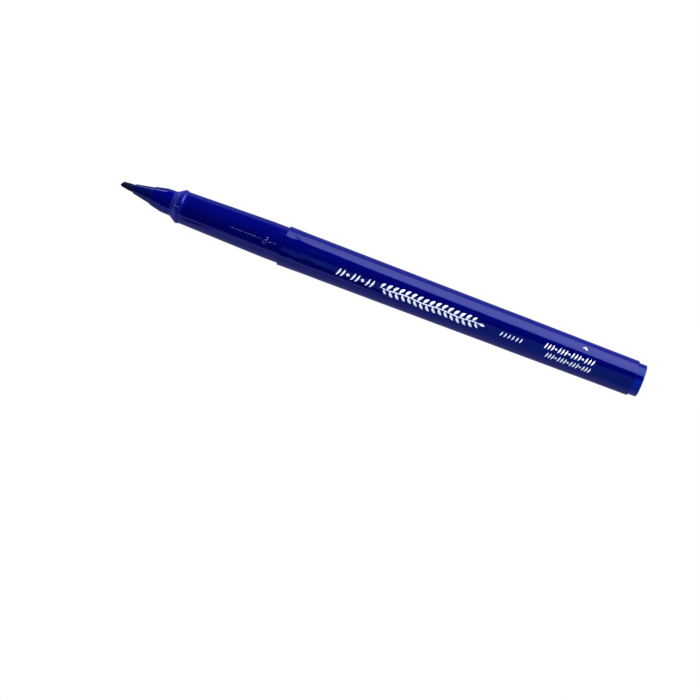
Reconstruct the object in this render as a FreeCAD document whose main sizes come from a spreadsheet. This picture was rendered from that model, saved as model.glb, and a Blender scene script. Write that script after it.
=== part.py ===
import FreeCAD, Part
import Sketcher
import os
import sys

# Calligraphy marker, uncapped.
#
# Every body is drawn in its own lathe coordinates: x runs along the marker's axis from the writing tip (x = 0)
# towards the tail, and the second sketch coordinate is the radius.  The Placement then lays the marker along X with
# its middle over the origin and its lowest point, the thickest ring of the barrel, on the XY plane:
#   writing tip at -X, tail at +X, printed side of the barrel up (+Z).
#
# Pieces:
#   barrel          one moulding: flared front rim, cap-lock bead, neck, cap stop shoulder, tapered body, inner ribs
#   nib_holder      front cone pressed into the barrel, with the nib bore and its air grooves
#   nib             fibre rod, cut to a slanted wedge in front, its shank runs back into the ink reservoir
#   ink_reservoir   fibre bundle
#   reservoir_film  plastic film wrapped round the bundle
#   tail_plug       hollow plug closing the rear end

doc = FreeCAD.newDocument("calligraphy_marker")
dim = doc.addObject("Spreadsheet::Sheet", "Dim")
dim.Label = "Dim"

CELLS = [
    # overall
    ("total_length", 141.0, "writing tip to tail"),
    # nib
    ("nib_rod_radius", 1.0, "fibre rod"),
    ("nib_rod_end", 9.2, "end of the full rod, inside the holder"),
    ("nib_shank_radius", 0.95, "shank that feeds ink"),
    ("nib_shank_end", 33.0, "rear end of the shank, inside the reservoir"),
    ("nib_shank_lead", 0.5, "lead-in cone at the shank's end"),
    ("nib_lead_radius", 0.55, "radius at the end of the lead-in cone"),
    ("wedge_front_y", 0.46, "half thickness of the wedge at its leading corner"),
    ("wedge_back_x", 0.56, "how far the slanted writing face leans back"),
    ("wedge_back_y", 0.53, "half thickness at the trailing corner"),
    ("wedge_root_x", 3.15, "where the flanks run out into the rod"),
    ("wedge_root_y", 1.02, "half thickness there"),
    ("wedge_cut_front", 1.0, "the cutting sketch starts this far before the tip"),
    ("wedge_cut_half", 1.6, "and is this wide each side"),
    # holder
    ("mouth_x", 3.52, "front face of the holder"),
    ("mouth_radius", 1.25, "outside radius at the front face"),
    ("nib_bore_radius", 1.04, "bore that guides the nib"),
    ("nib_bore_end", 8.8, "end of the guiding bore"),
    ("front_cone_x", 8.40, "end of the front cone"),
    ("front_cone_radius", 2.21, "radius there"),
    ("step_x", 8.62, "end of the small step"),
    ("step_radius", 2.43, "radius there"),
    ("rear_cone_x", 11.82, "end of the rear cone"),
    ("rear_cone_radius", 3.165, "radius there"),
    ("collar_x", 14.58, "rear face of the visible collar"),
    ("collar_radius", 3.25, "radius there"),
    ("holder_shank_radius", 2.70, "tube pressed into the barrel"),
    ("holder_end", 24.6, "rear end of that tube"),
    ("chamber_x", 12.0, "where the holder's inside reaches full width"),
    ("chamber_radius", 2.15, "inside of the holder's tube"),
    ("groove_depth", 0.22, "air groove in the nib bore, radial"),
    ("groove_half", 0.16, "half its width"),
    ("groove_count", 4, "air grooves"),
    # barrel outside
    ("rim_x", 14.60, "front face of the barrel"),
    ("rim_radius", 3.34, "outside radius at the front face"),
    ("flare_x", 16.10, "end of the flare"),
    ("flare_radius", 4.33, "radius there"),
    ("bead_front_x", 16.30, "front of the bead's crest"),
    ("bead_radius", 4.44, "cap-lock bead"),
    ("bead_back_x", 16.66, "back of the bead's crest"),
    ("neck_x", 17.12, "foot of the bead"),
    ("neck_radius", 4.20, "neck behind the bead"),
    ("neck_mid_x", 26.0, "neck, middle"),
    ("neck_mid_radius", 4.44, "radius there"),
    ("seat_x", 40.20, "front of the cap's seat, a true cylinder"),
    ("seat_radius", 4.78, "cap's seat"),
    ("shoulder_x", 44.60, "cap stop shoulder"),
    ("body_radius", 5.19, "thickest ring, just behind the shoulder"),
    ("body_b_x", 51.5, "barrel station"),
    ("body_b_radius", 5.10, "radius there"),
    ("body_c_x", 76.9, "barrel station"),
    ("body_c_radius", 4.955, "radius there"),
    ("post_x", 103.2, "front of the posting seat, a true cylinder"),
    ("post_radius", 4.785, "posting seat"),
    ("post_end_x", 108.2, "rear of the posting seat"),
    ("body_d_x", 122.2, "barrel station"),
    ("body_d_radius", 4.675, "radius there"),
    ("tail_x", 138.80, "rear face of the barrel"),
    ("tail_radius", 4.560, "radius there"),
    # barrel inside
    ("front_bore_radius", 2.70, "socket for the holder's tube"),
    ("socket_end", 25.0, "end of that socket"),
    ("core_front_radius", 3.35, "reservoir space, front"),
    ("core_back_x", 130.0, "reservoir space, rear end"),
    ("core_back_radius", 3.72, "reservoir space, rear"),
    ("plug_bore_radius", 3.80, "socket for the tail plug"),
    ("rib_inner_radius", 3.15, "inner faces of the ribs"),
    ("rib_outer_radius", 3.72, "rib root, inside the wall"),
    ("rib_half", 0.25, "half a rib's width"),
    ("rib_length", 62.0, "length of a rib"),
    ("rib_count", 6, "longitudinal ribs"),
    # reservoir and film
    ("core_x", 25.2, "front end of the fibre bundle"),
    ("core_end", 130.5, "rear end of the fibre bundle"),
    ("core_radius", 3.0, "fibre bundle"),
    ("core_hole_radius", 1.0, "hole for the nib's shank"),
    ("core_hole_end", 34.0, "bottom of that hole"),
    ("film_inner_radius", 3.02, "film, inside"),
    ("film_outer_radius", 3.12, "film, outside"),
    ("film_short", 0.3, "the film stops this far short of each end of the bundle"),
    # tail plug
    ("plug_shank_x", 131.0, "front end of the plug"),
    ("plug_shank_radius", 3.75, "part inside the barrel"),
    ("plug_head_radius", 4.16, "visible head"),
    ("plug_hollow_radius", 2.85, "hollow inside the plug"),
    ("plug_hollow_end", 139.5, "bottom of the hollow"),
]
alias_ok = set()
for row, (alias, value, words) in enumerate(CELLS, start=1):
    dim.set("A%d" % row, alias)
    dim.set("B%d" % row, str(value))
    dim.set("C%d" % row, words)
    dim.setAlias("B%d" % row, alias)
    alias_ok.add(alias)
doc.recompute()


def size(alias):
    return float(dim.get(alias))


def origin_feature(body, role):
    return [o for o in body.Origin.OriginFeatures if o.Role == role][0]


def new_body(name):
    """A body laid along X, its middle over the origin and its lowest ring on the XY plane."""
    body = doc.addObject("PartDesign::Body", name)
    body.Label = name
    body.setExpression(".Placement.Base.x", "-Dim.total_length / 2")
    body.setExpression(".Placement.Base.z", "Dim.body_radius")
    return body


def term(word):
    """A sheet alias, a number, or an expression of aliases, as an expression and as its value."""
    if isinstance(word, (int, float)):
        return str(word), float(word)
    tokens = word.split()
    text = " ".join("Dim." + t if t in alias_ok else t for t in tokens)
    total, sign = 0.0, 1.0
    for t in tokens:
        if t in "+-":
            sign = 1.0 if t == "+" else -1.0
        else:
            total += sign * (size(t) if t in alias_ok else float(t))
            sign = 1.0
    return text, total


def closed_profile(body, name, role, points):
    """A closed polygon in a sketch on one of the body's own planes, every corner dimensioned from the sheet."""
    sketch = body.newObject("Sketcher::SketchObject", name)
    sketch.AttachmentSupport = [(origin_feature(body, role), "")]
    sketch.MapMode = "FlatFace"
    terms = [(term(x), term(y)) for x, y in points]
    values = [(x[1], y[1]) for x, y in terms]
    count = len(points)
    for i in range(count):
        p, q = values[i], values[(i + 1) % count]
        sketch.addGeometry(
            Part.LineSegment(FreeCAD.Vector(p[0], p[1], 0), FreeCAD.Vector(q[0], q[1], 0)), False
        )
    for i in range(count):
        sketch.addConstraint(Sketcher.Constraint("Coincident", i, 2, (i + 1) % count, 1))
    for i in range(count):
        for axis, kind, on_axis in ((0, "DistanceX", -2), (1, "DistanceY", -1)):
            text, value = terms[i][axis]
            if abs(value) < 1e-9:
                sketch.addConstraint(Sketcher.Constraint("PointOnObject", i, 1, on_axis))
                continue
            index = sketch.addConstraint(Sketcher.Constraint(kind, -1, 1, i, 1, value))
            label = "p%d_%s" % (i, "x" if axis == 0 else "y")
            sketch.renameConstraint(index, label)
            sketch.setExpression("Constraints." + label, text)
    doc.recompute()
    return sketch


def revolve(body, name, sketch, cut=False):
    feature = body.newObject("PartDesign::Groove" if cut else "PartDesign::Revolution", name)
    feature.Profile = sketch
    feature.ReferenceAxis = (sketch, ["H_Axis"])
    feature.Angle = 360.0
    doc.recompute()
    return feature


def ring_edges(feature, wanted):
    """Names of the full circular edges at the given (x, radius) places, in the body's own coordinates."""
    names = []
    for x, r in wanted:
        found = []
        for number, edge in enumerate(feature.Shape.Edges, start=1):
            curve = edge.Curve
            if not isinstance(curve, Part.Circle):
                continue
            if abs(curve.Center.x - x) < 0.004 and abs(curve.Radius - r) < 0.004:
                found.append("Edge%d" % number)
        if not found:
            sys.exit("no ring edge at x %.3f r %.3f on %s" % (x, r, feature.Name))
        names += found
    return names


def round_edges(body, name, base, wanted, radius):
    fillet = body.newObject("PartDesign::Fillet", name)
    fillet.Base = (base, ring_edges(base, wanted))
    fillet.Radius = radius
    doc.recompute()
    return fillet


def at(x, r):
    return (term(x)[1], term(r)[1])


# ---------------------------------------------------------------- barrel
# The outside and the inside are one lathe profile; the ribs are added afterwards.
barrel = new_body("barrel")
barrel_profile = closed_profile(
    barrel,
    "barrel_profile",
    "XZ_Plane",
    [
        ("rim_x", "front_bore_radius"),
        ("rim_x", "rim_radius"),
        ("flare_x", "flare_radius"),
        ("bead_front_x", "bead_radius"),
        ("bead_back_x", "bead_radius"),
        ("neck_x", "neck_radius"),
        ("neck_mid_x", "neck_mid_radius"),
        ("seat_x", "seat_radius"),
        ("shoulder_x", "seat_radius"),
        ("shoulder_x", "body_radius"),
        ("body_b_x", "body_b_radius"),
        ("body_c_x", "body_c_radius"),
        ("post_x", "post_radius"),
        ("post_end_x", "post_radius"),
        ("body_d_x", "body_d_radius"),
        ("tail_x", "tail_radius"),
        ("tail_x", "plug_bore_radius"),
        ("core_back_x", "plug_bore_radius"),
        ("core_back_x", "core_back_radius"),
        ("socket_end", "core_front_radius"),
        ("socket_end", "front_bore_radius"),
    ],
)
barrel_shell = revolve(barrel, "barrel_shell", barrel_profile)
bead_round = round_edges(
    barrel,
    "bead_round",
    barrel_shell,
    [at("bead_front_x", "bead_radius"), at("bead_back_x", "bead_radius")],
    0.12,
)
foot_round = round_edges(barrel, "bead_foot_round", bead_round, [at("neck_x", "neck_radius")], 0.25)
edge_round = round_edges(
    barrel,
    "edge_round",
    foot_round,
    [at("shoulder_x", "body_radius"), at("tail_x", "tail_radius"), at("rim_x", "rim_radius")],
    0.08,
)

# One rib: a bar along the axis whose root is inside the wall, then copied round the axis.
rib_sketch = barrel.newObject("Sketcher::SketchObject", "rib_sketch")
rib_sketch.AttachmentSupport = [(origin_feature(barrel, "XZ_Plane"), "")]
rib_sketch.MapMode = "FlatFace"
x0, r0, r1, run = size("socket_end"), size("rib_inner_radius"), size("rib_outer_radius"), size("rib_length")
corners = [(x0, r0), (x0 + run, r0), (x0 + run, r1), (x0, r1)]
for i in range(4):
    p, q = corners[i], corners[(i + 1) % 4]
    rib_sketch.addGeometry(
        Part.LineSegment(FreeCAD.Vector(p[0], p[1], 0), FreeCAD.Vector(q[0], q[1], 0)), False
    )
for i in range(4):
    rib_sketch.addConstraint(Sketcher.Constraint("Coincident", i, 2, (i + 1) % 4, 1))
for i, kind in ((0, "Horizontal"), (2, "Horizontal"), (1, "Vertical"), (3, "Vertical")):
    rib_sketch.addConstraint(Sketcher.Constraint(kind, i))
for label, constraint, text in (
    ("rib_start", Sketcher.Constraint("DistanceX", -1, 1, 0, 1, x0), "Dim.socket_end"),
    ("rib_face", Sketcher.Constraint("DistanceY", -1, 1, 0, 1, r0), "Dim.rib_inner_radius"),
    ("rib_run", Sketcher.Constraint("DistanceX", 0, 1, 0, 2, run), "Dim.rib_length"),
    ("rib_root", Sketcher.Constraint("DistanceY", -1, 1, 2, 1, r1), "Dim.rib_outer_radius"),
):
    index = rib_sketch.addConstraint(constraint)
    rib_sketch.renameConstraint(index, label)
    rib_sketch.setExpression("Constraints." + label, text)
doc.recompute()
rib = barrel.newObject("PartDesign::Pad", "rib")
rib.Profile = rib_sketch
rib.Midplane = True
rib.setExpression("Length", "2 * Dim.rib_half")
doc.recompute()
ribs = barrel.newObject("PartDesign::PolarPattern", "ribs")
ribs.Originals = [rib]
ribs.Axis = (origin_feature(barrel, "X_Axis"), [""])
ribs.Angle = 360
ribs.setExpression("Occurrences", "Dim.rib_count")
barrel.Tip = ribs
doc.recompute()

# ---------------------------------------------------------------- nib holder
holder = new_body("nib_holder")
holder_profile = closed_profile(
    holder,
    "holder_profile",
    "XZ_Plane",
    [
        ("mouth_x", "nib_bore_radius"),
        ("mouth_x", "mouth_radius"),
        ("front_cone_x", "front_cone_radius"),
        ("step_x", "step_radius"),
        ("rear_cone_x", "rear_cone_radius"),
        ("collar_x", "collar_radius"),
        ("collar_x", "holder_shank_radius"),
        ("holder_end", "holder_shank_radius"),
        ("holder_end", "chamber_radius"),
        ("chamber_x", "chamber_radius"),
        ("nib_bore_end", "nib_bore_radius"),
    ],
)
holder_shell = revolve(holder, "holder_shell", holder_profile)
cone_round = round_edges(
    holder, "cone_round", holder_shell, [at("rear_cone_x", "rear_cone_radius")], 4.0
)
step_round = round_edges(
    holder,
    "step_round",
    cone_round,
    [at("front_cone_x", "front_cone_radius"), at("step_x", "step_radius")],
    0.15,
)
mouth_round = round_edges(
    holder,
    "mouth_round",
    step_round,
    [at("mouth_x", "mouth_radius"), at("collar_x", "collar_radius")],
    0.08,
)

# Air grooves along the nib bore, open to the mouth and to the chamber.
groove_sketch = closed_profile(
    holder,
    "groove_sketch",
    "XZ_Plane",
    [
        ("mouth_x - 0.5", "nib_bore_radius - 0.3"),
        ("mouth_x - 0.5", "nib_bore_radius + groove_depth - 0.06"),
        ("mouth_x + 1.2", "nib_bore_radius + groove_depth - 0.06"),
        ("nib_bore_end + 0.6", "nib_bore_radius + groove_depth + 0.1"),
        ("nib_bore_end + 0.6", "nib_bore_radius - 0.3"),
    ],
)
groove = holder.newObject("PartDesign::Pocket", "groove")
groove.Profile = groove_sketch
groove.Midplane = True
groove.setExpression("Length", "2 * Dim.groove_half")
doc.recompute()
grooves = holder.newObject("PartDesign::PolarPattern", "grooves")
grooves.Originals = [groove]
grooves.Axis = (origin_feature(holder, "X_Axis"), [""])
grooves.Angle = 360
grooves.setExpression("Occurrences", "Dim.groove_count")
holder.Tip = grooves
doc.recompute()

# ---------------------------------------------------------------- nib
nib = new_body("nib")
nib_profile = closed_profile(
    nib,
    "nib_profile",
    "XZ_Plane",
    [
        (0, 0),
        (0, "nib_rod_radius"),
        ("nib_rod_end", "nib_rod_radius"),
        ("nib_rod_end", "nib_shank_radius"),
        ("nib_shank_end - nib_shank_lead", "nib_shank_radius"),
        ("nib_shank_end", "nib_lead_radius"),
        ("nib_shank_end", 0),
    ],
)
nib_rod = revolve(nib, "nib_rod", nib_profile)
# Everything outside the wedge: two flanks that close towards the tip, and a writing face that leans back
# from the leading corner on the -Y side.
wedge_sketch = closed_profile(
    nib,
    "wedge_sketch",
    "XY_Plane",
    [
        ("0 - wedge_cut_front", "0 - wedge_cut_half"),
        ("wedge_root_x", "0 - wedge_cut_half"),
        ("wedge_root_x", "0 - wedge_root_y"),
        (0, "0 - wedge_front_y"),
        ("wedge_back_x", "wedge_back_y"),
        ("wedge_root_x", "wedge_root_y"),
        ("wedge_root_x", "wedge_cut_half"),
        ("0 - wedge_cut_front", "wedge_cut_half"),
    ],
)
wedge = nib.newObject("PartDesign::Pocket", "wedge")
wedge.Profile = wedge_sketch
wedge.Midplane = True
wedge.setExpression("Length", "4 * Dim.nib_rod_radius")
nib.Tip = wedge
doc.recompute()

# ---------------------------------------------------------------- ink reservoir and its film
core = new_body("ink_reservoir")
core_profile = closed_profile(
    core,
    "core_profile",
    "XZ_Plane",
    [
        ("core_x", "core_hole_radius"),
        ("core_x", "core_radius"),
        ("core_end", "core_radius"),
        ("core_end", 0),
        ("core_hole_end", 0),
        ("core_hole_end", "core_hole_radius"),
    ],
)
core_bundle = revolve(core, "core_bundle", core_profile)

film = new_body("reservoir_film")
film_profile = closed_profile(
    film,
    "film_profile",
    "XZ_Plane",
    [
        ("core_x + film_short", "film_inner_radius"),
        ("core_x + film_short", "film_outer_radius"),
        ("core_end - film_short", "film_outer_radius"),
        ("core_end - film_short", "film_inner_radius"),
    ],
)
film_tube = revolve(film, "film_tube", film_profile)

# ---------------------------------------------------------------- tail plug
plug = new_body("tail_plug")
plug_profile = closed_profile(
    plug,
    "plug_profile",
    "XZ_Plane",
    [
        ("plug_shank_x", "plug_hollow_radius"),
        ("plug_shank_x", "plug_shank_radius"),
        ("tail_x", "plug_shank_radius"),
        ("tail_x", "plug_head_radius"),
        ("total_length", "plug_head_radius"),
        ("total_length", 0),
        ("plug_hollow_end", 0),
        ("plug_hollow_end", "plug_hollow_radius"),
    ],
)
plug_shell = revolve(plug, "plug_shell", plug_profile)
plug_round = round_edges(
    plug, "plug_round", plug_shell, [at("total_length", "plug_head_radius")], 0.28
)
plug_lead = plug.newObject("PartDesign::Chamfer", "plug_lead")
plug_lead.Base = (plug_round, ring_edges(plug_round, [at("plug_shank_x", "plug_shank_radius")]))
plug_lead.Size = 0.3
plug.Tip = plug_lead
doc.recompute()

# ---------------------------------------------------------------- checks and files
doc.recompute()
for thing in doc.Objects:
    if "Invalid" in thing.State or "Error" in thing.State:
        sys.exit("failed: %s %s" % (thing.Name, thing.State))
PIECES = [barrel, holder, nib, core, film, plug]
for body in PIECES:
    shape = body.Shape
    if shape.isNull() or not shape.isValid() or len(shape.Solids) != 1:
        sys.exit("bad shape: %s" % body.Label)
os.makedirs("parts", exist_ok=True)
for body in PIECES:
    shape = body.Shape
    shape.exportStep("parts/%s.step" % body.Label)
    box = shape.BoundBox
    print(
        "%-15s volume %9.3f mm3  x %8.3f %8.3f  y %7.3f %7.3f  z %7.3f %7.3f"
        % (body.Label, shape.Volume, box.XMin, box.XMax, box.YMin, box.YMax, box.ZMin, box.ZMax)
    )
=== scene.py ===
import math

import bmesh
import bpy
from mathutils import Matrix, Vector


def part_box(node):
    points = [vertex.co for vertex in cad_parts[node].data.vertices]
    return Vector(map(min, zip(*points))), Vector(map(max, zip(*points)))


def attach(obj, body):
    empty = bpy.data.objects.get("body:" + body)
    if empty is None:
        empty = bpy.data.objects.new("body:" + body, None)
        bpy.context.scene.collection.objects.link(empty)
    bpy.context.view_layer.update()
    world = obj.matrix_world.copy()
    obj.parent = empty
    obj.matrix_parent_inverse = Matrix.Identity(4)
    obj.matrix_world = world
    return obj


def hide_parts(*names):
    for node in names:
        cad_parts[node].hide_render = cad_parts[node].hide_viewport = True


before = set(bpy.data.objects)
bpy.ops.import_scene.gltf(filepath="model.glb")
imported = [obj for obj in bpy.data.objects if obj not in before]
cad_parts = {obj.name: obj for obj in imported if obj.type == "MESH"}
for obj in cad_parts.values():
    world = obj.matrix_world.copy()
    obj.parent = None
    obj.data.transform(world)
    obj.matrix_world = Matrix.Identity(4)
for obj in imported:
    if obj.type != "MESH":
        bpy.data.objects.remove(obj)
scene = bpy.context.scene
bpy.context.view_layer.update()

# ------------------------------------------------------------------------------------------------ frame of reference
# The marker is turned about one axis.  A station is a distance from the writing tip in millimetres, and the axis
# height and the tip's place come from the CAD boxes.
MM = 0.001
TIP_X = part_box("nib")[0].x
AXIS_Z = (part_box("barrel")[0].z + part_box("barrel")[1].z) / 2
AXIS = Vector((0.0, 0.0, AXIS_Z))


def wobble(seed, x):
    """A smooth curve between about -1 and 1, the same on every run."""
    return (
        math.sin(x * 1.0 + seed * 1.7)
        + 0.6 * math.sin(x * 2.3 + seed * 3.1)
        + 0.35 * math.sin(x * 4.1 + seed * 5.3)
    ) / 1.95


def rounded(points, closed=True):
    """A profile of (station, radius, fillet) corners as a line in which every corner is an arc."""
    out = []
    count = len(points)
    for i in range(count):
        x, r, f = points[i]
        if f <= 0 or (not closed and i in (0, count - 1)):
            out.append((x, r, True))
            continue
        px, pr, _ = points[i - 1]
        nx, nr, _ = points[(i + 1) % count]
        a = Vector((px - x, pr - r))
        b = Vector((nx - x, nr - r))
        la, lb = a.length, b.length
        a.normalize()
        b.normalize()
        turn = math.acos(max(-1.0, min(1.0, a.dot(b))))
        if turn > math.pi - 1e-3:
            out.append((x, r, True))
            continue
        cut = min(f / math.tan(turn / 2), la * 0.48, lb * 0.48)
        rad = cut * math.tan(turn / 2)
        c = Vector((x, r)) + (a + b).normalized() * (rad / math.sin(turn / 2))
        p0 = Vector((x, r)) + a * cut
        p1 = Vector((x, r)) + b * cut
        a0 = math.atan2(p0.y - c.y, p0.x - c.x)
        a1 = math.atan2(p1.y - c.y, p1.x - c.x)
        while a1 - a0 > math.pi:
            a1 -= 2 * math.pi
        while a1 - a0 < -math.pi:
            a1 += 2 * math.pi
        steps = max(3, int(abs(a1 - a0) / math.radians(9)) + 1)
        for k in range(steps + 1):
            t = a0 + (a1 - a0) * k / steps
            out.append((c.x + rad * math.cos(t), c.y + rad * math.sin(t), k in (0, steps)))
    return out


def divided(line, step, closed=True):
    """Extra points on the long runs, with one close to each end so that a fillet's shading stays on the fillet."""
    out = []
    n = len(line)
    for i in range(n):
        p = line[i]
        out.append((p[0], p[1]))
        if not closed and i == n - 1:
            break
        q = line[(i + 1) % n]
        d = math.hypot(q[0] - p[0], q[1] - p[1])
        if d > 0.12:
            cuts = [0.03 / d]
            k = max(1, int(d / step))
            cuts += [j / k for j in range(1, k) if 0.05 < j / k * d < d - 0.05]
            cuts += [1 - 0.03 / d]
            for t in cuts:
                out.append((p[0] + (q[0] - p[0]) * t, p[1] + (q[1] - p[1]) * t))
    return out


def ring_angles(count, extra=()):
    base = [2 * math.pi * k / count for k in range(count)]
    return sorted(set(round(a % (2 * math.pi), 6) for a in list(base) + list(extra)))


def lathe(name, line, angles, shift=None, smooth=True):
    """Turns a closed (station, radius) line about the marker's axis.  The angle is measured from +Z towards -Y.
    shift(station, radius, angle) gives a small radial change in millimetres."""
    bm = bmesh.new()
    rings = []
    for x, r in line:
        if r < 1e-6:
            rings.append([bm.verts.new((TIP_X + x * MM, 0, AXIS_Z))])
            continue
        ring = []
        for a in angles:
            rr = r + (shift(x, r, a) if shift else 0.0)
            ring.append(
                bm.verts.new((TIP_X + x * MM, -rr * MM * math.sin(a), AXIS_Z + rr * MM * math.cos(a)))
            )
        rings.append(ring)
    n = len(angles)
    for i in range(len(rings)):
        p, q = rings[i], rings[(i + 1) % len(rings)]
        if len(p) == 1 and len(q) == 1:
            continue
        for k in range(n):
            k2 = (k + 1) % n
            if len(p) == 1:
                bm.faces.new((p[0], q[k], q[k2]))
            elif len(q) == 1:
                bm.faces.new((p[k], q[0], p[k2]))
            else:
                bm.faces.new((p[k], q[k], q[k2], p[k2]))
    bmesh.ops.recalc_face_normals(bm, faces=bm.faces)
    mesh = bpy.data.meshes.new(name)
    bm.to_mesh(mesh)
    bm.free()
    obj = bpy.data.objects.new(name, mesh)
    scene.collection.objects.link(obj)
    if smooth:
        for p in mesh.polygons:
            p.use_smooth = True
    return obj


# ------------------------------------------------------------------------------------------------ materials
def material(name):
    m = bpy.data.materials.new(name)
    m.use_nodes = True
    nt = m.node_tree
    for n in list(nt.nodes):
        nt.nodes.remove(n)
    out = nt.nodes.new("ShaderNodeOutputMaterial")
    bsdf = nt.nodes.new("ShaderNodeBsdfPrincipled")
    nt.links.new(bsdf.outputs[0], out.inputs[0])
    return m, nt, bsdf


def node(nt, kind, **inputs):
    n = nt.nodes.new(kind)
    for key, value in inputs.items():
        n.inputs[key.replace("_", " ")].default_value = value
    return n


def coords(nt, scale=(1, 1, 1)):
    tc = nt.nodes.new("ShaderNodeTexCoord")
    mp = nt.nodes.new("ShaderNodeMapping")
    mp.inputs["Scale"].default_value = scale
    nt.links.new(tc.outputs["Object"], mp.inputs[0])
    return mp.outputs[0]


def noise(nt, vec, scale, detail=3.0, rough=0.5):
    n = nt.nodes.new("ShaderNodeTexNoise")
    n.inputs["Scale"].default_value = scale
    n.inputs["Detail"].default_value = detail
    n.inputs["Roughness"].default_value = rough
    nt.links.new(vec, n.inputs["Vector"])
    return n.outputs["Fac"]


def ramp(nt, fac, stops):
    n = nt.nodes.new("ShaderNodeValToRGB")
    els = n.color_ramp.elements
    els[0].position, els[0].color = stops[0][0], stops[0][1]
    els[1].position, els[1].color = stops[-1][0], stops[-1][1]
    for pos, col in stops[1:-1]:
        e = els.new(pos)
        e.color = col
    nt.links.new(fac, n.inputs[0])
    return n.outputs[0]


def remap(nt, fac, a, b, c, d):
    n = nt.nodes.new("ShaderNodeMapRange")
    n.inputs["From Min"].default_value = a
    n.inputs["From Max"].default_value = b
    n.inputs["To Min"].default_value = c
    n.inputs["To Max"].default_value = d
    nt.links.new(fac, n.inputs["Value"])
    return n.outputs[0]


def math_node(nt, op, a, b):
    n = nt.nodes.new("ShaderNodeMath")
    n.operation = op
    for i, v in enumerate((a, b)):
        if isinstance(v, (int, float)):
            n.inputs[i].default_value = v
        else:
            nt.links.new(v, n.inputs[i])
    return n.outputs[0]


def bump(nt, height, strength, distance, normal=None):
    n = nt.nodes.new("ShaderNodeBump")
    n.inputs["Strength"].default_value = strength
    n.inputs["Distance"].default_value = distance
    nt.links.new(height, n.inputs["Height"])
    if normal is not None:
        nt.links.new(normal, n.inputs["Normal"])
    return n.outputs[0]


def station(nt):
    """Distance from the writing tip in millimetres, at the shaded point."""
    tc = nt.nodes.new("ShaderNodeTexCoord")
    sep = nt.nodes.new("ShaderNodeSeparateXYZ")
    nt.links.new(tc.outputs["Object"], sep.inputs[0])
    return math_node(nt, "MULTIPLY", math_node(nt, "SUBTRACT", sep.outputs[0], TIP_X), 1000.0)


def turn(nt):
    """Angle about the marker's axis in degrees, from +Z towards -Y."""
    tc = nt.nodes.new("ShaderNodeTexCoord")
    sep = nt.nodes.new("ShaderNodeSeparateXYZ")
    nt.links.new(tc.outputs["Object"], sep.inputs[0])
    ang = math_node(nt, "ARCTAN2", math_node(nt, "MULTIPLY", sep.outputs[1], -1.0), math_node(nt, "SUBTRACT", sep.outputs[2], AXIS_Z))
    return math_node(nt, "MULTIPLY", ang, 180.0 / math.pi)


def radius(nt):
    """Distance from the marker's axis in millimetres, at the shaded point."""
    tc = nt.nodes.new("ShaderNodeTexCoord")
    sep = nt.nodes.new("ShaderNodeSeparateXYZ")
    nt.links.new(tc.outputs["Object"], sep.inputs[0])
    dz = math_node(nt, "SUBTRACT", sep.outputs[2], AXIS_Z)
    sq = math_node(nt, "ADD", math_node(nt, "MULTIPLY", sep.outputs[1], sep.outputs[1]), math_node(nt, "MULTIPLY", dz, dz))
    return math_node(nt, "MULTIPLY", math_node(nt, "SQRT", sq, 0.0), 1000.0)


def blend(nt, fac, a, b):
    n = nt.nodes.new("ShaderNodeMix")
    n.data_type = "RGBA"
    for sock, v in ((n.inputs["Factor"], fac), (n.inputs[6], a), (n.inputs[7], b)):
        if isinstance(v, (int, float, tuple)):
            sock.default_value = v
        else:
            nt.links.new(v, sock)
    return n.outputs[2]


def hump(nt, value, lo, hi, soft):
    """1 between lo and hi and 0 outside, with soft shoulders."""
    up = remap(nt, value, lo, lo + soft, 0.0, 1.0)
    down = remap(nt, value, hi - soft, hi, 1.0, 0.0)
    return math_node(nt, "MULTIPLY", up, down)


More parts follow.
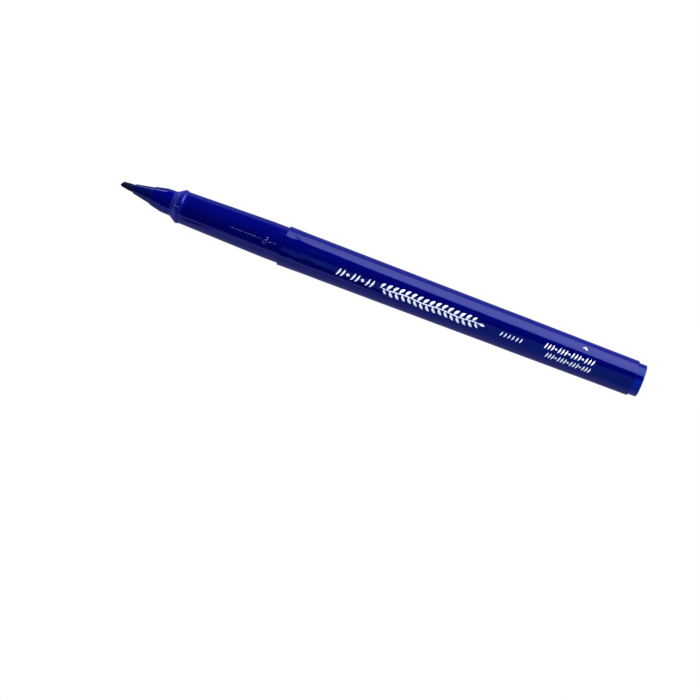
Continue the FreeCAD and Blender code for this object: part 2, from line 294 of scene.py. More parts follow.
def blue_plastic(name, dark, light, tint=(0.28, 0.33, 1.0, 1), ior=1.5, rough=(0.04, 0.09), painted_zones=(), painted_reflections=(), shaded_sides=(), painted_rim_bands=(), matt=()):
    """Moulded blue plastic.  zones are (from, to, soft, colour) along the marker, painted light and shade: lighter
    where light would come through a thin rim and darker where the nib would show through the holder.  scuffs are (from,
    to, angle from, angle to, amount), painted reflections in patches; bands are pale rings with streaks across them,
    painted light through the thin rim; sides are darker strips on the outer wall, painted shade on one side of the
    plug; and matt is (from, to, soft, added roughness)."""
    m, nt, b = material(name)
    # pigment drawn out along the mould's flow
    flow = noise(nt, coords(nt, (40, 160, 160)), 1.0, 4.0, 0.55)
    col = ramp(nt, flow, [(0.3, dark), (0.7, light)])
    at = station(nt)
    # painted light and shade along the marker: lighter at a thin rim, darker where the nib shows through
    for lo, hi, soft, colour in painted_zones:
        mottle = remap(nt, noise(nt, coords(nt, (500, 900, 900)), 1.0, 3.0, 0.5), 0.25, 0.75, 0.72, 1.0)
        col = blend(nt, math_node(nt, "MULTIPLY", hump(nt, at, lo, hi, soft), mottle), col, colour)
    # painted light: pale streaked rings where light would come through the thin rim
    for lo, hi, soft, colour in painted_rim_bands:
        streak = remap(nt, noise(nt, coords(nt, (3000, 800, 800)), 1.0, 4.0, 0.6), 0.38, 0.66, 0.12, 1.0)
        col = blend(nt, math_node(nt, "MULTIPLY", hump(nt, at, lo, hi, soft), streak), col, colour)
    # painted shade: one side of the outer wall darker, as the light falls
    for lo, hi, soft, colour in shaded_sides:
        wall = remap(nt, radius(nt), 3.97, 4.12, 0.0, 1.0)
        col = blend(nt, math_node(nt, "MULTIPLY", hump(nt, turn(nt), lo, hi, soft), wall), col, colour)
    # gloss a little uneven from handling
    smear = noise(nt, coords(nt, (90, 260, 260)), 1.0, 5.0, 0.6)
    rgh = remap(nt, smear, 0.3, 0.75, rough[0], rough[1])
    for lo, hi, soft, more in matt:
        rgh = math_node(nt, "ADD", rgh, math_node(nt, "MULTIPLY", hump(nt, at, lo, hi, soft), more))
    # painted reflections: paler greyish patches, broken up by noise, where reflections fall behind the step and along
    # the barrel
    if painted_reflections:
        ang = turn(nt)
        reflection_patches = remap(nt, noise(nt, coords(nt, (260, 2600, 2600)), 1.0, 4.0, 0.65), 0.50, 0.66, 0.0, 1.0)
        for lo, hi, a0, a1, amount in painted_reflections:
            here = math_node(nt, "MULTIPLY", hump(nt, at, lo, hi, (hi - lo) * 0.3), hump(nt, ang, a0, a1, (a1 - a0) * 0.4))
            here = math_node(nt, "MULTIPLY", math_node(nt, "MULTIPLY", here, reflection_patches), amount)
            col = blend(nt, here, col, (0.016, 0.020, 0.10, 1))
    nt.links.new(col, b.inputs["Base Color"])
    nt.links.new(rgh, b.inputs["Roughness"])
    # a trace of orange peel and hairline scratches along the marker
    peel = noise(nt, coords(nt, (1, 1, 1)), 700.0, 2.0, 0.5)
    scratch = noise(nt, coords(nt, (120, 9000, 9000)), 1.0, 2.0, 0.7)
    lines = remap(nt, scratch, 0.62, 0.72, 0.0, 1.0)
    n1 = bump(nt, peel, 0.04, 0.00002)
    n2 = bump(nt, lines, 0.05, 0.00001, n1)
    nt.links.new(n2, b.inputs["Normal"])
    b.inputs["IOR"].default_value = ior
    b.inputs["Specular Tint"].default_value = tint
    return m


BARREL = blue_plastic(
    "barrel_blue",
    (0.00032, 0.0008, 0.0755, 1),
    (0.00046, 0.0011, 0.0855, 1),
    # painted light: collar and bead lighter, as if lit through the thin plastic
    painted_zones=[(13.0, 18.0, 0.9, (0.0026, 0.0042, 0.130, 1))],
    # painted light through the barrel's thin front rim
    painted_rim_bands=[(14.72, 16.0, 0.2, (0.028, 0.034, 0.21, 1))],
    matt=[(14.4, 16.1, 0.3, 0.12)],
    # painted reflections behind the step and along the barrel
    painted_reflections=[(45.5, 51.5, 12.0, 24.0, 0.30), (50.5, 56.5, -10.0, 2.0, 0.34), (50.8, 57.5, 14.0, 32.0, 0.34), (60, 100, 20, 40, 0.10)],
)
HOLDER = blue_plastic(
    "holder_blue",
    (0.00032, 0.0005, 0.083, 1),
    (0.00046, 0.0008, 0.092, 1),
    # painted shade on the front cone for the dark nib inside it, and painted light on the thin rear rim
    painted_zones=[(0.0, 8.75, 0.5, (0.0002, 0.0032, 0.050, 1)), (13.6, 20.0, 0.7, (0.0018, 0.0026, 0.118, 1))],
    # painted light through the holder's thin rear rim
    painted_rim_bands=[(14.0, 15.4, 0.3, (0.020, 0.027, 0.17, 1))],
)
PLUG = blue_plastic(
    "plug_blue",
    (0.0002, 0.0060, 0.190, 1),
    (0.0003, 0.0078, 0.212, 1),
    tint=(0.19, 0.31, 0.85, 1),
    # painted shade on one side of the plug
    shaded_sides=[(-150.0, 14.0, 10.0, (0.0002, 0.0012, 0.088, 1))],
)


# fibre: drawn strands along the axis, soaked with ink
def fibre(name, dark, light, rough):
    m, nt, b = material(name)
    strands = noise(nt, coords(nt, (400, 14000, 14000)), 1.0, 3.0, 0.6)
    blot = noise(nt, coords(nt, (1, 1, 1)), 900.0, 3.0, 0.5)
    mix = math_node(nt, "ADD", math_node(nt, "MULTIPLY", strands, 0.6), math_node(nt, "MULTIPLY", blot, 0.4))
    nt.links.new(ramp(nt, mix, [(0.35, dark), (0.65, light)]), b.inputs["Base Color"])
    nt.links.new(remap(nt, strands, 0.3, 0.7, rough - 0.08, rough + 0.1), b.inputs["Roughness"])
    nt.links.new(bump(nt, strands, 0.5, 0.00003), b.inputs["Normal"])
    b.inputs["IOR"].default_value = 1.34
    b.inputs["Specular Tint"].default_value = (0.24, 0.34, 0.65, 1)
    return m


NIB = fibre("nib_fibre", (0.0003, 0.0015, 0.0135, 1), (0.0008, 0.0033, 0.025, 1), 0.46)
CORE = fibre("reservoir_fibre", (0.002, 0.004, 0.05, 1), (0.006, 0.011, 0.10, 1), 0.7)

m, nt, b = material("reservoir_film")
crease = noise(nt, coords(nt, (60, 500, 500)), 1.0, 4.0, 0.6)
nt.links.new(ramp(nt, crease, [(0.3, (0.02, 0.03, 0.20, 1)), (0.7, (0.04, 0.06, 0.32, 1))]), b.inputs["Base Color"])
nt.links.new(remap(nt, crease, 0.3, 0.7, 0.10, 0.25), b.inputs["Roughness"])
nt.links.new(bump(nt, crease, 0.3, 0.0001), b.inputs["Normal"])
b.inputs["IOR"].default_value = 1.5
FILM = m

m, nt, b = material("white_print")
ink = noise(nt, coords(nt, (1, 1, 1)), 4000.0, 3.0, 0.6)
nt.links.new(ramp(nt, ink, [(0.3, (0.84, 0.84, 0.88, 1)), (0.6, (0.97, 0.97, 0.98, 1))]), b.inputs["Base Color"])
nt.links.new(remap(nt, ink, 0.3, 0.7, 0.35, 0.55), b.inputs["Roughness"])
b.inputs["IOR"].default_value = 1.45
PRINT = m

# pale colour on the flash and the nick: painted highlight for the glints they catch
m, nt, b = material("nick_glint_blue")
raw = noise(nt, coords(nt, (1, 1, 1)), 5000.0, 3.0, 0.7)
nt.links.new(ramp(nt, raw, [(0.35, (0.03, 0.04, 0.22, 1)), (0.65, (0.28, 0.30, 0.60, 1))]), b.inputs["Base Color"])
nt.links.new(remap(nt, raw, 0.3, 0.7, 0.25, 0.5), b.inputs["Roughness"])
b.inputs["IOR"].default_value = 1.5
NICK_GLINT = m

# near-white colour on the gate stub: painted highlight for a glint on a real raised stub
m, nt, b = material("gate_glint_blue")
raw = noise(nt, coords(nt, (1, 1, 1)), 5000.0, 3.0, 0.7)
nt.links.new(ramp(nt, raw, [(0.35, (0.42, 0.44, 0.72, 1)), (0.65, (0.86, 0.87, 0.95, 1))]), b.inputs["Base Color"])
nt.links.new(remap(nt, raw, 0.3, 0.7, 0.3, 0.6), b.inputs["Roughness"])
b.inputs["IOR"].default_value = 1.5
GATE_GLINT = m


def dress(obj, mat, slot, body, *nodes):
    obj.data.materials.clear()
    obj.data.materials.append(mat)
    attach(obj, body)
    if nodes:
        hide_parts(*nodes)
    return obj


# ------------------------------------------------------------------------------------------------ barrel
# outside corners of the barrel: (station, radius, fillet)
OUTER = [
    (14.60, 3.34, 0.08),
    (16.10, 4.33, 0.25),
    (16.32, 4.44, 0.12),
    (16.72, 4.44, 0.06),
    (17.02, 4.338, 0.06),
    (17.18, 4.205, 0.10),
    (26.0, 4.44, 20.0),
    (40.20, 4.78, 6.0),
    (44.60, 4.78, 0.05),
    (44.60, 5.19, 0.08),
    (51.5, 5.10, 20.0),
    (76.9, 4.955, 20.0),
    (103.2, 4.785, 6.0),
    (108.2, 4.785, 6.0),
    (122.2, 4.675, 20.0),
    (138.80, 4.560, 0.08),
]
INNER = [
    (138.80, 3.80, 0.08),
    (130.0, 3.80, 0.03),
    (130.0, 3.72, 0.0),
    (25.0, 3.35, 0.0),
    (25.0, 2.70, 0.0),
    (14.60, 2.70, 0.04),
]
PART_LINE = math.radians(16.6)  # where the two halves of the mould met
outer_line = rounded(OUTER + INNER)
barrel_line = divided(outer_line, 0.8)


RIB_LINES = [63.0, 71.0]
RIDGE_FROM, RIDGE_TOP, RIDGE_TO = 48.0, 54.2, 80.0  # degrees


def barrel_shift(x, r, a):
    if r < 3.9 and x > 17:
        return 0.0
    d = 0.0
    # the mould's parting line, a broken ridge a few hundredths of a millimetre high
    for k, base in enumerate((PART_LINE, PART_LINE + math.pi)):
        off = (a - base + math.pi) % (2 * math.pi) - math.pi
        if abs(off) < math.radians(1.3) and 16.2 < x < 43.9 and r < 4.79:
            here = max(0.0, 0.45 + 0.7 * wobble(3 + k, x * 1.9))
            if r > 4.40 and x < 17:
                here = 0.0
            d += 0.022 * here * max(0.0, 1 - abs(off) / math.radians(1.2))
    # faint lengthways lines where the ribs inside pull the wall in
    if 17.6 < x < 44.0:
        fade = min(1.0, (x - 17.6) / 0.8) * (0.25 + 0.75 * math.exp(-(((x - 18.0) / 7.0) ** 2))) * min(1.0, (44.0 - x) / 1.0)
        deg = math.degrees(a) % 360
        for line in RIB_LINES:
            for copy in (line, line + 120, line + 240):
                off = (deg - copy + 180) % 360 - 180
                if abs(off) < 2.2:
                    d -= 0.017 * fade * (1 - (off / 2.2) ** 2)
        # one ridge each side, steep above and easing away below
        tall = 0.115 * min(1.0, (x - 17.6) / 1.2) * math.exp(-((max(0.0, x - 20.0) / 8.5) ** 2))
        off = (deg - RIDGE_FROM) % 180
        if off < RIDGE_TOP - RIDGE_FROM:
            d += tall * off / (RIDGE_TOP - RIDGE_FROM)
        elif off < RIDGE_TO - RIDGE_FROM:
            d += tall * (RIDGE_TO - RIDGE_FROM - off) / (RIDGE_TO - RIDGE_TOP)
    # sink marks in the long walls, strongest just behind the step
    if x > 44.9:
        fade = min(1.0, (x - 44.9) / 0.8) * min(1.0, (138.2 - x) / 1.5)
        near = math.exp(-(((x - 50.0) / 7.0) ** 2))
        far = 0.0022
        d += fade * (0.030 * near + far) * (0.5 * math.sin(11 * a + 3.2 * wobble(1, x * 0.28)) - 0.5)
        d += fade * 0.004 * (0.5 * wobble(5, x * 0.07 + 1.3 * math.sin(a)) - 0.5)
    return d


fine = [PART_LINE + math.pi * k + math.radians(v) for k in (0, 1) for v in (-1.3, -0.6, -0.25, 0, 0.25, 0.6, 1.3)]
fine += [math.radians(line + turn_by + v) for line in RIB_LINES for turn_by in (0, 120, 240) for v in (-2.2, -1.1, 0, 1.1, 2.2)]
fine += [math.radians(v + k) for v in (47.7, 48.0, 48.4, 50.0, 52.2, 53.8, 54.2, 54.7) for k in (0, 180)]
barrel = lathe("barrel_shell", barrel_line, ring_angles(180, fine), barrel_shift)
dress(barrel, BARREL, "barrel_blue", "marker_body", "barrel")

# ------------------------------------------------------------------------------------------------ nib holder
holder_line = divided(
    rounded(
        [
            (3.52, 1.04, 0.03),
            (3.52, 1.25, 0.09),
            (8.40, 2.21, 0.12),
            (8.62, 2.43, 0.15),
            (11.82, 3.165, 3.5),
            (14.58, 3.25, 0.08),
            (14.58, 2.70, 0.02),
            (24.60, 2.70, 0.06),
            (24.60, 2.15, 0.06),
            (12.0, 2.15, 0.5),
            (8.80, 1.04, 0.3),
        ]
    ),
    0.5,
)


def holder_shift(x, r, a):
    if 1.0 < r < 1.2 and x < 9.0 and (x > 3.6 or r < 1.06):
        off = (a + math.pi / 4) % (math.pi / 2) - math.pi / 4
        if abs(off) < math.radians(8.5):
            return 0.14
    return 0.0


extra = [math.pi / 2 * k + math.radians(v) for k in range(4) for v in (-8.6, -8.4, 8.4, 8.6)]
holder = lathe("holder_cone", holder_line, ring_angles(120, extra), holder_shift)
dress(holder, HOLDER, "holder_blue", "marker_body", "nib_holder")

# ------------------------------------------------------------------------------------------------ nib
def make_nib():
    line = []
    x = 0.0
    while x < 3.6:
        line.append((x, 1.0))
        x += 0.06
    line += [(3.6 + 0.4 * k, 1.0) for k in range(14)] + [(9.2, 1.0), (9.2, 0.95)]
    line += [(9.6 + 0.8 * k, 0.95) for k in range(29)] + [(32.5, 0.95), (33.0, 0.55), (33.0, 0.0), (0.0, 0.0)]
    obj = lathe("nib_rod", line, ring_angles(96))
    bm = bmesh.new()
    bm.from_mesh(obj.data)

    def cut(p, q, keep):
        """Cuts along the line p-q in the XY plane (stations and y in mm), keeping the side that the point keep is on."""
        a = Vector((TIP_X + p[0] * MM, p[1] * MM, AXIS_Z))
        d = Vector(((q[0] - p[0]) * MM, (q[1] - p[1]) * MM, 0))
        nrm = d.cross(Vector((0, 0, 1))).normalized()
        k = Vector((TIP_X + keep[0] * MM, keep[1] * MM, AXIS_Z))
        if (k - a).dot(nrm) > 0:
            nrm = -nrm
        res = bmesh.ops.bisect_plane(
            bm, geom=bm.verts[:] + bm.edges[:] + bm.faces[:], plane_co=a, plane_no=nrm, clear_outer=True, dist=1e-9
        )
        edges = [e for e in res["geom_cut"] if isinstance(e, bmesh.types.BMEdge)]
        bmesh.ops.contextual_create(bm, geom=edges)

    cut((0.0, -0.41), (3.15, -0.99), (3.0, 0.0))
    cut((0.56, 0.62), (3.15, 1.04), (3.0, 0.0))
    cut((0.0, -0.41), (0.56, 0.62), (3.0, 0.0))
    bmesh.ops.recalc_face_normals(bm, faces=bm.faces)
    # the cut edges are a little worn
    sharp = [
        e
        for e in bm.edges
        if len(e.link_faces) == 2
        and e.calc_face_angle(0) > math.radians(20)
        and max(v.co.x for v in e.verts) < TIP_X + 3.4 * MM
    ]
    bmesh.ops.bevel(bm, geom=sharp, offset=0.000032, segments=3, profile=0.5, affect="EDGES", clamp_overlap=True)
    bmesh.ops.triangulate(bm, faces=[f for f in bm.faces if len(f.verts) > 4])
    bmesh.ops.recalc_face_normals(bm, faces=bm.faces)
    bm.to_mesh(obj.data)
    bm.free()
    for p in obj.data.polygons:
        p.use_smooth = True
    obj.data.set_sharp_from_angle(angle=math.radians(32))
    return obj


nib = make_nib()
dress(nib, NIB, "nib_fibre", "nib", "nib")

# ------------------------------------------------------------------------------------------------ tail plug
plug_line = divided(
    rounded(
        [
            (131.0, 2.85, 0.1),
            (131.0, 3.75, 0.3),
            (138.80, 3.75, 0.03),
            (138.80, 4.16, 0.05),
            (141.0, 4.16, 0.28),
            (141.0, 0.9, 0.0),
            (140.9, 0.6, 0.0),
            (140.9, 0.0, 0.0),
            (139.5, 0.0, 0.0),
            (139.5, 2.85, 0.3),
        ]
    ),
    0.5,
)
plug = lathe("plug_cap", plug_line, ring_angles(144))
dress(plug, PLUG, "plug_blue", "tail_plug", "tail_plug")

# ------------------------------------------------------------------------------------------------ marks on the outside
def outer_radius(x):
    """The barrel's outside radius at a station, in millimetres."""
    line = [(p[0], p[1]) for p in OUTER]
    for (x0, r0), (x1, r1) in zip(line, line[1:]):
        if x0 <= x <= x1 and x1 > x0:
            return r0 + (r1 - r0) * (x - x0) / (x1 - x0)
    return line[-1][1]


class Marks:
    """Thin closed strokes wrapped on the barrel.  u runs along the marker and v around it, both in millimetres."""

    def __init__(self, name, high, deep=0.03):
        self.name, self.high, self.deep = name, high, deep
        self.bm = bmesh.new()

    def put(self, x, ang, h):
        r = (outer_radius(x) + h) * MM
        return self.bm.verts.new((TIP_X + x * MM, -r * math.sin(ang), AXIS_Z + r * math.cos(ang)))

    def stroke(self, path, widths, x0, deg0):
        rows = []
        n = len(path)
        for i, (u, v) in enumerate(path):
            pu, pv = path[max(0, i - 1)]
            nu, nv = path[min(n - 1, i + 1)]
            t = Vector((nu - pu, nv - pv)).normalized()
            across = Vector((-t.y, t.x))
            top, low = [], []
            for f, lift in ((-1.0, 0.45), (-0.55, 1.0), (0.0, 1.0), (0.55, 1.0), (1.0, 0.45)):
                q = Vector((u, v)) + across * (f * widths[i] / 2)
                x = x0 + q.x
                ang = math.radians(deg0) + q.y / outer_radius(x)
                top.append(self.put(x, ang, self.high * lift))
                low.append(self.put(x, ang, -self.deep))
            rows.append((top, low))
        make = self.bm.faces.new
        for (t0, l0), (t1, l1) in zip(rows, rows[1:]):
            for j in range(4):
                make((t0[j], t0[j + 1], t1[j + 1], t1[j]))
                make((l0[j + 1], l0[j], l1[j], l1[j + 1]))
            make((t0[0], t1[0], l1[0], l0[0]))
            make((t1[4], t0[4], l0[4], l1[4]))
        for t, l in (rows[0], rows[-1]):
            for j in range(4):
                make((t[j], l[j], l[j + 1], t[j + 1]))

    def leaf(self, a, b, width, x0, deg0, bow=0.12, sharp=0.75):
        """A pen stroke that swells and thins between two points."""
        pa, pb = Vector(a), Vector(b)
        d = pb - pa
        side = Vector((-d.y, d.x)) * bow
        n = max(8, int(d.length / 0.12))
        path, widths = [], []
        for k in range(n + 1):
            t = k / n
            p = pa + d * t + side * math.sin(math.pi * t)
            path.append((p.x, p.y))
            widths.append(0.05 + (width - 0.05) * math.sin(math.pi * min(1.0, max(0.0, t))) ** sharp)
        self.stroke(path, widths, x0, deg0)

    def lozenge(self, u, v, long, wide, x0, deg0):
        n = 8
        path = [(u - 0.5 * long + long * k / n, v + 0.35 * (long * k / n - 0.5 * long)) for k in range(n + 1)]
        widths = [0.03 + wide * (1 - abs(2 * k / n - 1)) for k in range(n + 1)]
        self.stroke(path, widths, x0, deg0)

    def done(self, mat, slot):
        bmesh.ops.recalc_face_normals(self.bm, faces=self.bm.faces)
        mesh = bpy.data.meshes.new(self.name)
        self.bm.to_mesh(mesh)
        self.bm.free()
        obj = bpy.data.objects.new(self.name, mesh)
        scene.collection.objects.link(obj)
        for p in mesh.polygons:
            p.use_smooth = True
        mesh.set_sharp_from_angle(angle=math.radians(40))
        return dress(obj, mat, slot, "marker_body")


# an ornamental branch and rows of slanted pen strokes, in white ink
branch = Marks("print_branch", 0.016)
length, pairs = 28.0, 16


def stem_at(u):
    return 0.14 * math.sin(2 * math.pi * u / 9.3)


path, widths = [], []
steps = 200
for k in range(steps + 1):
    u = length * k / steps
    path.append((u, stem_at(u)))
    widths.append(0.06 + 0.20 * min(1.0, 8 * k / steps) * min(1.0, 0.35 + 2.5 * (steps - k) / steps))
branch.stroke(path, widths, 71.3, 25.2)
pitch = (length - 2.0) / pairs
for k in range(pairs):
    for way in (-1, 1):
        u = 0.35 + pitch * (k + (0.5 if way > 0 else 0.0))
        grow = 0.84 if k in (0, pairs - 1) else 1.0
        branch.leaf(
            (u, stem_at(u) + 0.08 * way), (u + 1.12 * grow, stem_at(u) + 1.46 * way * grow), 0.68 * grow, 71.3, 25.2, 0.12 * way, 0.8
        )
branch.leaf((length - 1.5, stem_at(length - 1.5)), (length, stem_at(length)), 0.6, 71.3, 25.2, 0.0, 0.8)
branch.done(PRINT, "white_print")

rows = Marks("print_rows", 0.016)
for k in range(3):
    for j in (0.0, 1.15):
        u = 0.65 + 3.92 * k + j
        rows.leaf((u - 0.42, 1.02), (u + 0.42, -1.02), 0.48, 59.6, 25.9, 0.06)
for k in range(2):
    rows.lozenge(3.20 + 3.92 * k, 0.0, 0.95, 0.85, 59.6, 25.9)
for k in range(6):
    u = 0.35 + 1.04 * k
    rows.leaf((u - 0.24, 0.62), (u + 0.24, -0.62), 0.34, 103.5, 27.7, 0.05)
for deg, x0, count, step in ((13.5, 115.0, 15, 0.885), (40.2, 115.95, 15, 0.80)):
    for k in range(count):
        u = 0.3 + step * k
        if k % 4 == 3:
            rows.lozenge(u, 0.0, 0.62, 0.56, x0, deg)
        else:
            rows.leaf((u - 0.27, 0.76), (u + 0.27, -0.76), 0.38, x0, deg, 0.05)
rows.done(PRINT, "white_print")

# flash along the parting line and a small nick, real raised marks, painted pale as highlights
nick = Marks("neck_nicks", 0.018, 0.02)
nick.leaf((0, 0), (1.75, 0.0), 0.085, 14.95, 16.6, 0.0, 0.3)
for a0, a1, v in ((30.6, 31.6, 0.0), (31.9, 33.9, 0.02), (34.2, 35.2, -0.02), (35.3, 37.6, 0.0), (38.0, 39.1, 0.03), (41.2, 43.2, 0.0)):
    nick.leaf((0, v), (a1 - a0, v), 0.055, a0, 16.6, 0.0, 0.4)
for u0, v0, u1, v1, wide, bow in (
    (-0.1, 0.05, 0.5, -0.35, 0.09, 0.25),
    (0.35, -0.62, 1.05, -0.78, 0.10, -0.2),
    (0.75, -0.72, 0.55, -0.05, 0.09, -0.25),
    (0.55, 0.0, 0.95, 0.1, 0.07, 0.2),
    (-0.45, 0.35, -0.15, 0.72, 0.08, -0.2),
    (-0.1, 0.75, 0.25, 0.95, 0.08, 0.2),
    (0.3, 0.9, 0.5, 0.4, 0.08, 0.2),
    (1.2, 0.18, 1.9, 0.16, 0.07, 0.05),
):
    nick.leaf((u0, v0), (u1, v1), wide, 39.9, 16.6, bow)
nick.done(NICK_GLINT, "barrel_blue")

# the trimmed stub where the plastic was fed into the mould, painted near-white as a highlight
gate = Marks("gate_stub", 0.03, 0.02)
gate.leaf((-0.2, 0.12), (0.25, -0.38), 0.36, 124.6, -24.9, 0.1, 0.5)
gate.leaf((0.15, 0.12), (0.80, 0.32), 0.32, 124.6, -24.9, 0.1, 0.5)
gate.leaf((-0.55, 0.15), (-0.3, 0.05), 0.14, 124.6, -24.9, 0.1, 0.5)
gate.done(GATE_GLINT, "barrel_blue")

# ------------------------------------------------------------------------------------------------ inside pieces
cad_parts["ink_reservoir"].data.materials.clear()
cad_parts["ink_reservoir"].data.materials.append(CORE)
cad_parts["reservoir_film"].data.materials.clear()
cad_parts["reservoir_film"].data.materials.append(FILM)

# ------------------------------------------------------------------------------------------------ light, floor, camera
world = bpy.data.worlds.new("studio")
scene.world = world
world.use_nodes = True
wt = world.node_tree
bg = wt.nodes["Background"]
bg.inputs[0].default_value = (0.55, 0.6, 0.75, 1)
bg.inputs[1].default_value = 1.4
world.cycles_visibility.camera = False
world.cycles_visibility.glossy = False


def glow(name, colour, strength):
    mat = bpy.data.materials.new(name)
    mat.use_nodes = True
    t = mat.node_tree
    for n in list(t.nodes):
        t.nodes.remove(n)
    o = t.nodes.new("ShaderNodeOutputMaterial")
    e = t.nodes.new("ShaderNodeEmission")
    e.inputs[0].default_value = colour
    e.inputs[1].default_value = strength
    t.links.new(e.outputs[0], o.inputs[0])
    return mat


def card(name, corners, strength, colour=(1, 1, 1, 1), diffuse=True):
    """A glowing sheet beside the marker.  The camera never sees it, only its reflection and its light."""
    mesh = bpy.data.meshes.new(name)
    mesh.from_pydata([Vector(c) for c in corners], [], [(0, 1, 2, 3)])
    obj = bpy.data.objects.new(name, mesh)
    scene.collection.objects.link(obj)
    mesh.materials.append(glow(name, colour, strength))
    obj.visible_camera = False
    obj.visible_shadow = False
    obj.visible_diffuse = diffuse
    return obj


def on_arc(deg, dist, x):
    """A point dist metres from the marker's axis, deg from straight up towards +Y."""
    return (x, dist * math.sin(math.radians(deg)), AXIS_Z + dist * math.cos(math.radians(deg)))


def sheet(name, columns, colour, rows=((0.0, 1.0), (1.0, 1.0)), cols=((0.0, 1.0), (1.0, 1.0)), dist=0.60, diffuse=False):
    """A glowing sheet bent round the marker's axis that only reflections see.  columns are (x, angle from, angle to);
    rows scale the glow by height above the floor, and cols by x, both as (metres, factor) stops."""
    bm = bmesh.new()
    n = 12
    grid = []
    for x, d0, d1 in columns:
        grid.append([bm.verts.new(on_arc(d0 + (d1 - d0) * k / n, dist, x)) for k in range(n + 1)])
    for p, q in zip(grid, grid[1:]):
        for k in range(n):
            bm.faces.new((p[k], q[k], q[k + 1], p[k + 1]))
    mesh = bpy.data.meshes.new(name)
    bm.to_mesh(mesh)
    bm.free()
    obj = bpy.data.objects.new(name, mesh)
    scene.collection.objects.link(obj)
    mat = glow(name, (1, 1, 1, 1), 1.0)
    t = mat.node_tree
    em = [q for q in t.nodes if q.bl_idname == "ShaderNodeEmission"][0]
    tc = t.nodes.new("ShaderNodeTexCoord")
    sep = t.nodes.new("ShaderNodeSeparateXYZ")
    t.links.new(tc.outputs["Object"], sep.inputs[0])

    def stops(sock, table):
        lo, hi = table[0][0], table[-1][0]
        if hi <= lo:
            return 1.0
        f = remap(t, sock, lo, hi, 0.0, 1.0)
        return ramp(t, f, [((p - lo) / (hi - lo), (v, v, v, 1)) for p, v in table])

    k = math_node(t, "MULTIPLY", stops(sep.outputs[2], rows), stops(sep.outputs[0], cols))
    t.links.new(k, em.inputs[1])
    em.inputs[0].default_value = colour
    mesh.materials.append(mat)
    obj.visible_camera = False
    obj.visible_shadow = False
    obj.visible_diffuse = diffuse
    return obj


# the soft box beside the marker, on the side away from the print: one sheet for its light, one for its reflection
key = card(
    "soft_box",
    [on_arc(89.6, 0.60, -0.083), on_arc(89.6, 0.60, 0.60), on_arc(46.7, 0.60, 0.60), on_arc(46.7, 0.60, -0.083)],
    13.9,
)
key.visible_glossy = False
sheet(
    "soft_box_seen",
    [(-0.084, 90, 49.5), (-0.058, 90, 45.4), (-0.0235, 90, 38.9), (0.052, 90, 31.4), (0.079, 90, 29.0), (0.128, 90, 24.1), (0.20, 90, 22), (0.6, 90, 22), (1.7, 90, 22)],
    (1.0, 1.0, 0.84, 1),
    rows=((0.0, 2.3), (0.10, 2.65), (0.28, 4.5), (0.42, 5.3), (0.56, 4.7)),
    cols=((-0.1, 0.95), (0.17, 1.16), (0.38, 2.2), (0.46, 2.2), (1.2, 1.2), (1.7, 1.2)),
)
# a low strip past the nib, for the thin light along the holder
card(
    "low_strip",
    [(-0.42, 0.45, 0.005), (-0.22, 0.60, 0.005), (-0.22, 0.60, 0.10), (-0.42, 0.45, 0.10)],
    5.0,
)
# dim reflectors low on the print side, whiter towards the nib
sheet("near_card_nib", [(-0.9, -90, -71), (-0.09, -90, -71), (-0.03, -90, -76)], (0.95, 0.92, 1.55, 1))
sheet("near_card_tail", [(-0.03, -90, -71), (0.130, -90, -71)], (0.36, 0.60, 1.15, 1))
sheet("near_card_end", [(0.130, -90, -71), (0.9, -90, -71)], (0.06, 0.52, 1.15, 1))
# the faint ceiling on the print side, wider towards the tail
sheet(
    "ceiling",
    [(-0.078, -19, -44), (-0.04, -19, -52), (0.0, -19, -63), (0.05, -18, -71), (0.13, -12, -71), (0.9, -12, -71)],
    (0.27, 0.62, 1.0, 1),
)


def floor_plane(name, z, mat):
    mesh = bpy.data.meshes.new(name)
    mesh.from_pydata([(-5, -5, z), (5, -5, z), (5, 5, z), (-5, 5, z)], [], [(0, 1, 2, 3)])
    obj = bpy.data.objects.new(name, mesh)
    scene.collection.objects.link(obj)
    mesh.materials.append(mat)
    return obj


# the floor the camera sees: white, with a contact shade that stays in under the marker's own outline
mat = glow("floor_white", (1, 1, 1, 1), 1.0)
t = mat.node_tree
em = [q for q in t.nodes if q.bl_idname == "ShaderNodeEmission"][0]
tc = t.nodes.new("ShaderNodeTexCoord")
sep = t.nodes.new("ShaderNodeSeparateXYZ")
t.links.new(tc.outputs["Object"], sep.inputs[0])
f = remap(t, sep.outputs[1], -0.0036, 0.0056, 0.0, 1.0)
band = ramp(t, f, [(0.0, (0, 0, 0, 1)), (0.16, (0.28, 0.28, 0.28, 1)), (0.39, (0.80, 0.80, 0.80, 1)), (0.62, (0.45, 0.45, 0.45, 1)), (1.0, (0, 0, 0, 1))])
along = hump(t, sep.outputs[0], TIP_X + 0.012, -TIP_X + 0.001, 0.009)
shade = math_node(t, "SUBTRACT", 1.0, math_node(t, "MULTIPLY", band, along))
t.links.new(shade, em.inputs[1])
seen_floor = floor_plane("floor_seen", 0.0, mat)
seen_floor.visible_diffuse = False
seen_floor.visible_glossy = False
seen_floor.visible_shadow = False

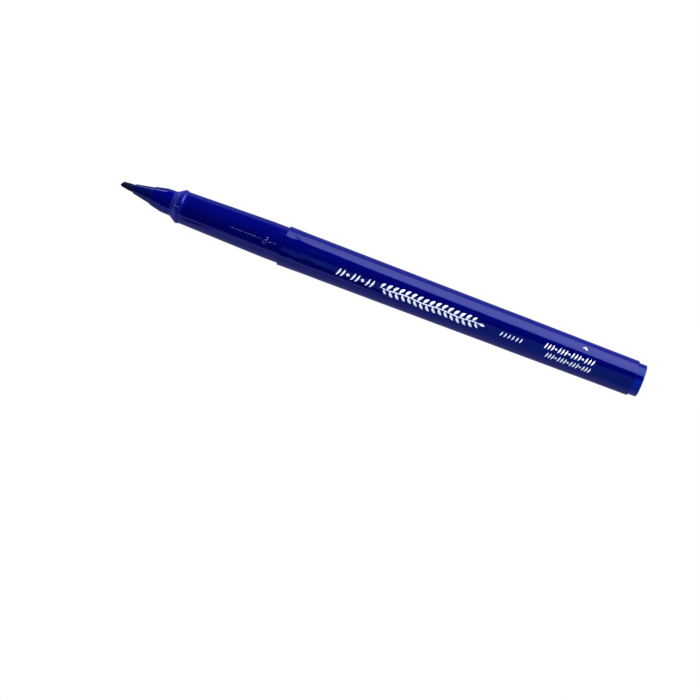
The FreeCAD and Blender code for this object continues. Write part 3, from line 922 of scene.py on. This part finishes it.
# what the plastic mirrors of the floor: dark where the marker shades it, paler further out
mat = glow("floor_mirrored", (1, 1, 1, 1), 1.0)
t = mat.node_tree
em = [q for q in t.nodes if q.bl_idname == "ShaderNodeEmission"][0]
tc = t.nodes.new("ShaderNodeTexCoord")
sep = t.nodes.new("ShaderNodeSeparateXYZ")
t.links.new(tc.outputs["Object"], sep.inputs[0])
f = remap(t, sep.outputs[1], -0.05, 0.05, 0.0, 1.0)
near = ramp(
    t,
    f,
    [
        (0.0, (0.50, 0.55, 1.05, 1)),
        (0.30, (0.46, 0.50, 1.00, 1)),
        (0.42, (0.26, 0.26, 0.62, 1)),
        (0.47, (0.10, 0.10, 0.22, 1)),
        (0.50, (0.01, 0.01, 0.02, 1)),
        (0.53, (0.05, 0.05, 0.10, 1)),
        (0.60, (0.16, 0.18, 0.34, 1)),
        (0.75, (0.26, 0.31, 0.55, 1)),
        (1.0, (0.30, 0.35, 0.60, 1)),
    ],
)
t.links.new(near, em.inputs[0])
mirrored = floor_plane("floor_mirrored", -0.0001, mat)
mirrored.visible_camera = False
mirrored.visible_diffuse = False
mirrored.visible_shadow = False

m, nt, b = material("floor_bounce")
b.inputs["Base Color"].default_value = (0.11, 0.11, 0.11, 1)
b.inputs["Roughness"].default_value = 0.9
b.inputs["Specular IOR Level"].default_value = 0.0
bounce = floor_plane("floor_bounce", -0.0003, m)
bounce.visible_camera = False
bounce.visible_glossy = False
bounce.visible_transmission = False

dome_mesh = bpy.data.meshes.new("backdrop")
bm = bmesh.new()
bmesh.ops.create_uvsphere(bm, u_segments=48, v_segments=24, radius=4.6)
bm.to_mesh(dome_mesh)
bm.free()
dome = bpy.data.objects.new("backdrop", dome_mesh)
scene.collection.objects.link(dome)
dome_mesh.materials.append(glow("backdrop_white", (1, 1, 1, 1), 1.0))
dome.visible_diffuse = False
dome.visible_glossy = False
dome.visible_transmission = False
dome.visible_shadow = False

cam_data = bpy.data.cameras.new("camera")
cam_data.sensor_width = 36.0
cam_data.lens = 84.417
cam_data.clip_start = 0.01
cam_data.clip_end = 100.0
cam = bpy.data.objects.new("camera", cam_data)
scene.collection.objects.link(cam)
fwd = Vector((-0.0514564, 0.1630732, -0.9852712)).normalized()
up = Vector((-0.3568746, 0.9184332, 0.1706488))
right = fwd.cross(up).normalized()
up = right.cross(fwd).normalized()
fwd = (fwd + (up - right) * 0.0003046).normalized()
right = fwd.cross(up).normalized()
up = right.cross(fwd).normalized()
basis = Matrix((right, up, -fwd)).transposed().to_4x4()
cam.matrix_world = Matrix.Translation((0.0208355, -0.0864530, 0.4119195)) @ basis
scene.camera = cam

scene.view_settings.view_transform = "Standard"
scene.view_settings.look = "None"
